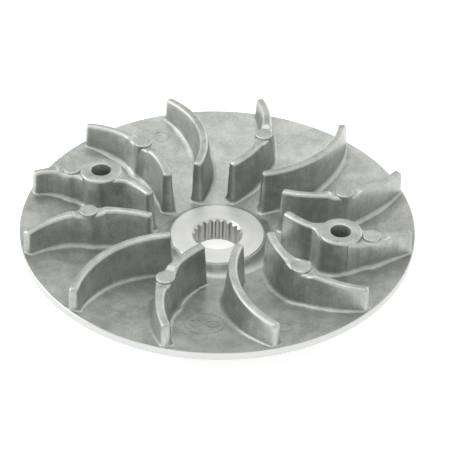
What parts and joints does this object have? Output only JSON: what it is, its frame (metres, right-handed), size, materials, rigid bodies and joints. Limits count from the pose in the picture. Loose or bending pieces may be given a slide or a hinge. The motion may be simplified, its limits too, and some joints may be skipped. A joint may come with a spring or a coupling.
{
  "type": "belt variator drive face",
  "caption": "Round die-cast drive face of a scooter belt variator, with curved cooling-fan blades on its outer side, a conical belt face below and a splined steel hub.",
  "frame": {"origin": "on the shaft axis, in the flat seat at the middle of the belt side (lowest plane of the part)", "axes": "+Z along the shaft from the belt side towards the fan; +X 8.2 degrees before the radial line of the first blade's middle"},
  "size_m": [0.15, 0.15, 0.0269],
  "materials": {
    "cast_alloy": "as cast, satin; belt cone and rim turned",
    "hub_steel": "turned faces, broached spline"
  },
  "bodies": {
    "root": {"fan_casting": "cast_alloy", "splined_hub": "hub_steel"}
  },
  "joints": []
}
